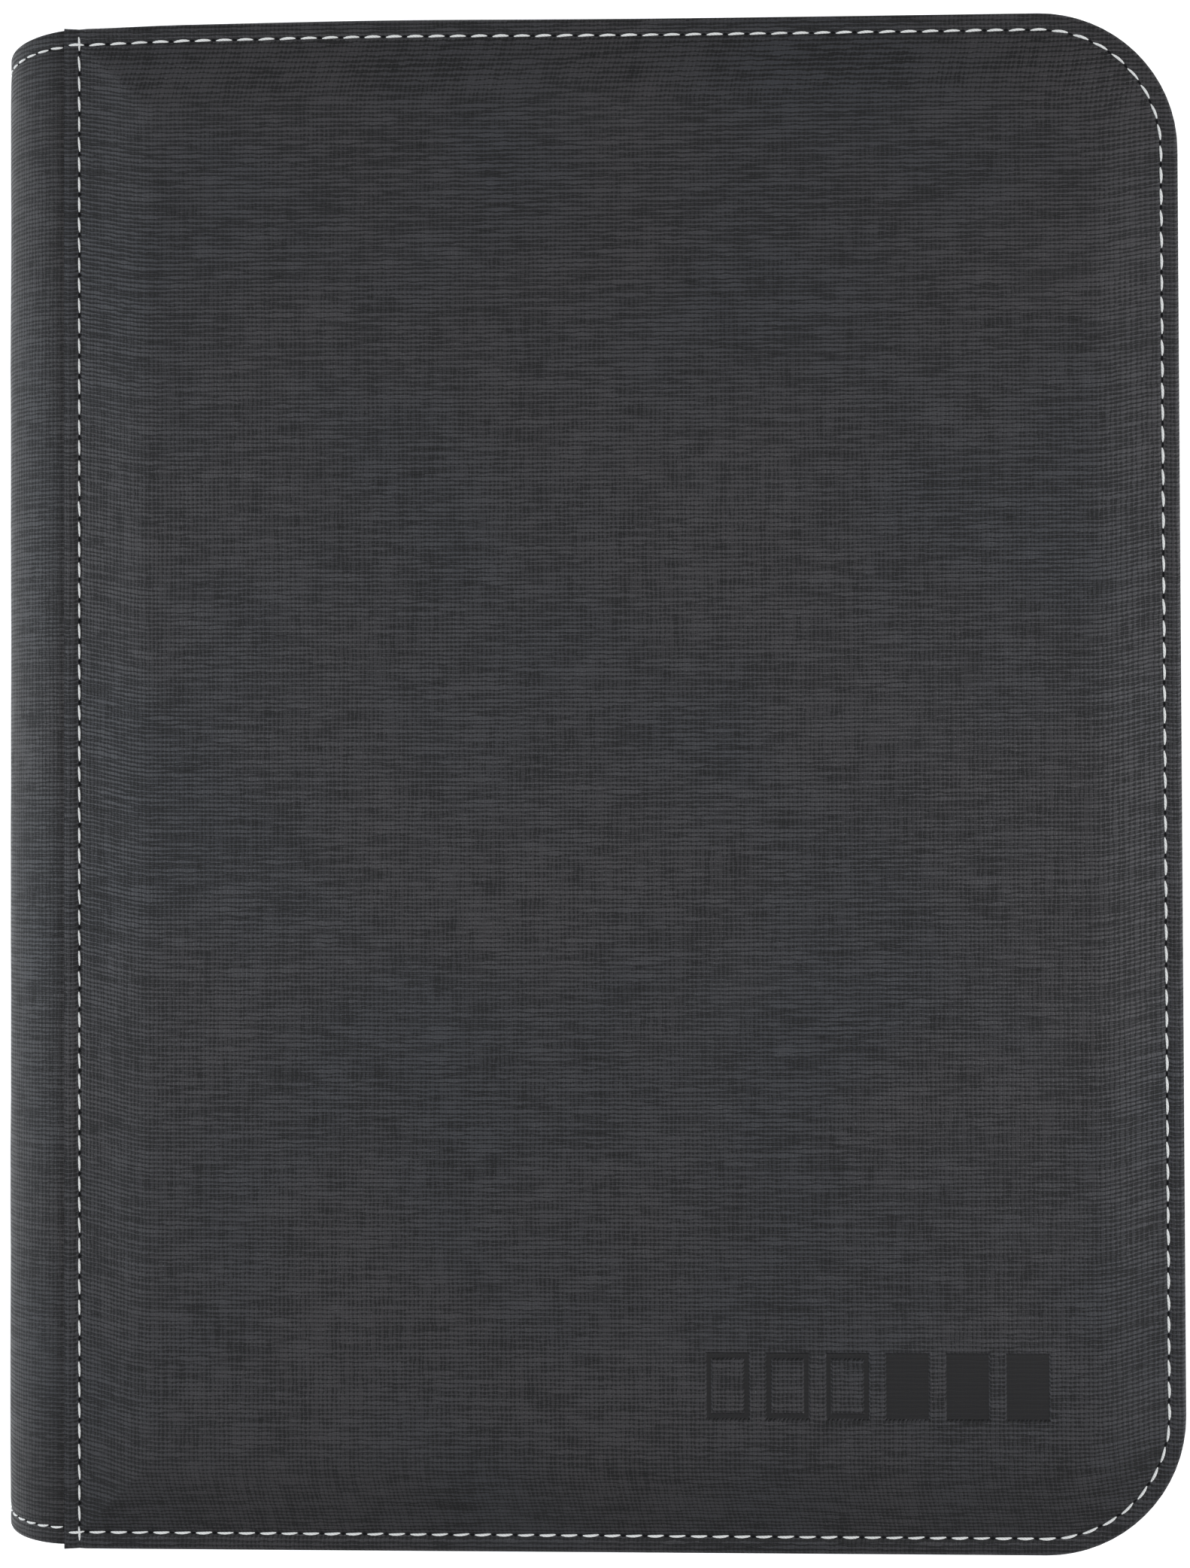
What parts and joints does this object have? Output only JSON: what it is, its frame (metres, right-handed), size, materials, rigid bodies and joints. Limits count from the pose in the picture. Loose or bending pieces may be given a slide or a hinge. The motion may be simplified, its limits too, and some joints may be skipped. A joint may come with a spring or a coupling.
{
  "type": "trading card binder",
  "caption": "Zip-around padded binder with fixed nine-pocket pages for trading cards; covers open flat about a rounded spine, slider and pull tab move.",
  "frame": {"origin": "on the resting outer face of the back cover, at the middle of the closed binder", "axes": "+X from the spine to the fore edge, +Y towards the head, +Z out of the front cover"},
  "size_m": [0.2666, 0.343, 0.038],
  "materials": {
    "leatherette": "dark charcoal leatherette with a fine linen emboss, semi-matt",
    "foam": "dark open-cell foam sheet",
    "board": "grey-brown binder's board",
    "lining": "black backed cloth, matt",
    "zipper_tape": "black woven polyester tape",
    "zipper_coil": "black nylon coil",
    "zipper_metal": "black painted zinc alloy, satin",
    "page_plastic": "clear film pockets on a black sheet",
    "thread": "white bonded polyester sewing thread"
  },
  "bodies": {
    "back_cover": {"back_outer_skin": "leatherette", "back_foam_pad": "foam", "back_board": "board", "back_lining": "lining", "back_zipper_tape": "zipper_tape", "back_zipper_coil": "zipper_coil", "back_stop_head": "zipper_metal", "back_stop_tail": "zipper_metal"},
    "spine": {"spine_outer_skin": "leatherette", "spine_foam_pad": "foam", "spine_board": "board", "spine_lining": "lining", "page_binding_strip": "lining"},
    "front_cover": {"front_outer_skin": "leatherette", "front_foam_pad": "foam", "front_board": "board", "front_lining": "lining", "front_zipper_tape": "zipper_tape", "front_zipper_coil": "zipper_coil", "front_stop_head": "zipper_metal", "front_stop_tail": "zipper_metal"},
    "page_01": {"page_01": "page_plastic"},
    "page_02": {"page_02": "page_plastic"},
    "page_03": {"page_03": "page_plastic"},
    "page_04": {"page_04": "page_plastic"},
    "page_05": {"page_05": "page_plastic"},
    "page_06": {"page_06": "page_plastic"},
    "page_07": {"page_07": "page_plastic"},
    "page_08": {"page_08": "page_plastic"},
    "page_09": {"page_09": "page_plastic"},
    "page_10": {"page_10": "page_plastic"},
    "page_11": {"page_11": "page_plastic"},
    "page_12": {"page_12": "page_plastic"},
    "page_13": {"page_13": "page_plastic"},
    "page_14": {"page_14": "page_plastic"},
    "page_15": {"page_15": "page_plastic"},
    "page_16": {"page_16": "page_plastic"},
    "page_17": {"page_17": "page_plastic"},
    "page_18": {"page_18": "page_plastic"},
    "page_19": {"page_19": "page_plastic"},
    "page_20": {"page_20": "page_plastic"},
    "zipper_slider": {"zipper_slider": "zipper_metal"},
    "zipper_pull": {"zipper_pull": "zipper_metal"}
  },
  "joints": [
    {"name": "spine_hinge", "type": "hinge", "parent": "back_cover", "child": "spine", "pos_m": [-0.11655, 0, 0.0029], "axis": [0, -1, 0], "range_deg": [0, 90]},
    {"name": "front_cover_hinge", "type": "hinge", "parent": "spine", "child": "front_cover", "pos_m": [-0.11655, 0, 0.0351], "axis": [0, -1, 0], "range_deg": [0, 90]},
    {"name": "page_01_hinge", "type": "hinge", "parent": "spine", "child": "page_01", "pos_m": [-0.11015, 0, 0.00695], "axis": [0, -1, 0], "range_deg": [-80.5, 0]},
    {"name": "page_02_hinge", "type": "hinge", "parent": "spine", "child": "page_02", "pos_m": [-0.11015, 0, 0.00822], "axis": [0, -1, 0], "range_deg": [-66.5, 0]},
    {"name": "page_03_hinge", "type": "hinge", "parent": "spine", "child": "page_03", "pos_m": [-0.11015, 0, 0.00949], "axis": [0, -1, 0], "range_deg": [-65, 0]},
    {"name": "page_04_hinge", "type": "hinge", "parent": "spine", "child": "page_04", "pos_m": [-0.11015, 0, 0.01076], "axis": [0, -1, 0], "range_deg": [-63.5, 0]},
    {"name": "page_05_hinge", "type": "hinge", "parent": "spine", "child": "page_05", "pos_m": [-0.11015, 0, 0.01202], "axis": [0, -1, 0], "range_deg": [-62, 0]},
    {"name": "page_06_hinge", "type": "hinge", "parent": "spine", "child": "page_06", "pos_m": [-0.11015, 0, 0.01329], "axis": [0, -1, 0], "range_deg": [-60.5, 0]},
    {"name": "page_07_hinge", "type": "hinge", "parent": "spine", "child": "page_07", "pos_m": [-0.11015, 0, 0.01456], "axis": [0, -1, 0], "range_deg": [-59, 0]},
    {"name": "page_08_hinge", "type": "hinge", "parent": "spine", "child": "page_08", "pos_m": [-0.11015, 0, 0.01583], "axis": [0, -1, 0], "range_deg": [-57.5, 0]},
    {"name": "page_09_hinge", "type": "hinge", "parent": "spine", "child": "page_09", "pos_m": [-0.11015, 0, 0.0171], "axis": [0, -1, 0], "range_deg": [-36.5, 0]},
    {"name": "page_10_hinge", "type": "hinge", "parent": "spine", "child": "page_10", "pos_m": [-0.11015, 0, 0.01837], "axis": [0, -1, 0], "range_deg": [-12.5, 0]},
    {"name": "page_11_hinge", "type": "hinge", "parent": "spine", "child": "page_11", "pos_m": [-0.11015, 0, 0.01963], "axis": [0, -1, 0], "range_deg": [0, 12.5]},
    {"name": "page_12_hinge", "type": "hinge", "parent": "spine", "child": "page_12", "pos_m": [-0.11015, 0, 0.0209], "axis": [0, -1, 0], "range_deg": [0, 36.5]},
    {"name": "page_13_hinge", "type": "hinge", "parent": "spine", "child": "page_13", "pos_m": [-0.11015, 0, 0.02217], "axis": [0, -1, 0], "range_deg": [0, 57.5]},
    {"name": "page_14_hinge", "type": "hinge", "parent": "spine", "child": "page_14", "pos_m": [-0.11015, 0, 0.02344], "axis": [0, -1, 0], "range_deg": [0, 59]},
    {"name": "page_15_hinge", "type": "hinge", "parent": "spine", "child": "page_15", "pos_m": [-0.11015, 0, 0.02471], "axis": [0, -1, 0], "range_deg": [0, 60.5]},
    {"name": "page_16_hinge", "type": "hinge", "parent": "spine", "child": "page_16", "pos_m": [-0.11015, 0, 0.02598], "axis": [0, -1, 0], "range_deg": [0, 62]},
    {"name": "page_17_hinge", "type": "hinge", "parent": "spine", "child": "page_17", "pos_m": [-0.11015, 0, 0.02724], "axis": [0, -1, 0], "range_deg": [0, 63.5]},
    {"name": "page_18_hinge", "type": "hinge", "parent": "spine", "child": "page_18", "pos_m": [-0.11015, 0, 0.02851], "axis": [0, -1, 0], "range_deg": [0, 65]},
    {"name": "page_19_hinge", "type": "hinge", "parent": "spine", "child": "page_19", "pos_m": [-0.11015, 0, 0.02978], "axis": [0, -1, 0], "range_deg": [0, 66.5]},
    {"name": "page_20_hinge", "type": "hinge", "parent": "spine", "child": "page_20", "pos_m": [-0.11015, 0, 0.03105], "axis": [0, -1, 0], "range_deg": [0, 80.5]},
    {"name": "zipper_slide", "type": "slide", "parent": "back_cover", "child": "zipper_slider", "axis": [1, 0, 0], "range_m": [0, 0.2]},
    {"name": "pull_hinge", "type": "hinge", "parent": "zipper_slider", "child": "zipper_pull", "pos_m": [-0.10345, -0.16795, 0.019], "axis": [0, 0, -1], "range_deg": [0, 180]}
  ],
  "couplings": [
    {"joint": "front_cover_hinge", "follows": "spine_hinge", "ratio": 1},
    {"joint": "page_01_hinge", "follows": "spine_hinge", "ratio": -0.8889},
    {"joint": "page_02_hinge", "follows": "spine_hinge", "ratio": -0.7333},
    {"joint": "page_03_hinge", "follows": "spine_hinge", "ratio": -0.7167},
    {"joint": "page_04_hinge", "follows": "spine_hinge", "ratio": -0.7},
    {"joint": "page_05_hinge", "follows": "spine_hinge", "ratio": -0.6833},
    {"joint": "page_06_hinge", "follows": "spine_hinge", "ratio": -0.6667},
    {"joint": "page_07_hinge", "follows": "spine_hinge", "ratio": -0.65},
    {"joint": "page_08_hinge", "follows": "spine_hinge", "ratio": -0.6333},
    {"joint": "page_09_hinge", "follows": "spine_hinge", "ratio": -0.4},
    {"joint": "page_10_hinge", "follows": "spine_hinge", "ratio": -0.1333},
    {"joint": "page_11_hinge", "follows": "spine_hinge", "ratio": 0.1333},
    {"joint": "page_12_hinge", "follows": "spine_hinge", "ratio": 0.4},
    {"joint": "page_13_hinge", "follows": "spine_hinge", "ratio": 0.6333},
    {"joint": "page_14_hinge", "follows": "spine_hinge", "ratio": 0.65},
    {"joint": "page_15_hinge", "follows": "spine_hinge", "ratio": 0.6667},
    {"joint": "page_16_hinge", "follows": "spine_hinge", "ratio": 0.6833},
    {"joint": "page_17_hinge", "follows": "spine_hinge", "ratio": 0.7},
    {"joint": "page_18_hinge", "follows": "spine_hinge", "ratio": 0.7167},
    {"joint": "page_19_hinge", "follows": "spine_hinge", "ratio": 0.7333},
    {"joint": "page_20_hinge", "follows": "spine_hinge", "ratio": 0.8889}
  ]
}
